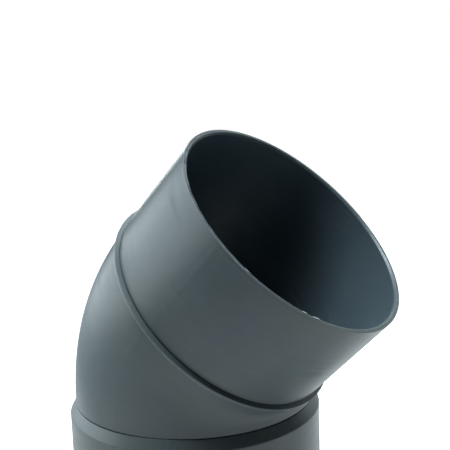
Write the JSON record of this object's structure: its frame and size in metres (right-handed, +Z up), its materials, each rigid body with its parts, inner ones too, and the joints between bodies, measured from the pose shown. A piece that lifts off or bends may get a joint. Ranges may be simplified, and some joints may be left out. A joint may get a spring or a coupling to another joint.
{
  "type": "pvc pipe elbow fitting",
  "caption": "Dark grey 45 degree PVC pipe elbow with a plain spigot and raised stop ring at one end and a ring-seal push-fit socket at the other.",
  "frame": {"origin": "middle of the fitting's footprint (its bounding box seen from above), on the plane that the socket stands on", "axes": "+Z up along the lower leg's centre line, +X towards the side that the upper leg leans to, +Y across the mirror plane"},
  "size_m": [0.159, 0.1292, 0.1863],
  "materials": {
    "pvc_grey": "satin injection-moulded unplasticised PVC",
    "ring_grey": "satin moulded PVC, a shade darker at the joint",
    "cap_grey": "satin moulded polypropylene",
    "seal_rubber": "matt black EPDM rubber"
  },
  "bodies": {
    "root": {"bend_body": "pvc_grey", "spigot_sleeve": "pvc_grey", "stop_ring": "ring_grey", "socket_bell": "pvc_grey", "lip_seal": "seal_rubber", "retaining_cap": "cap_grey"}
  },
  "joints": []
}
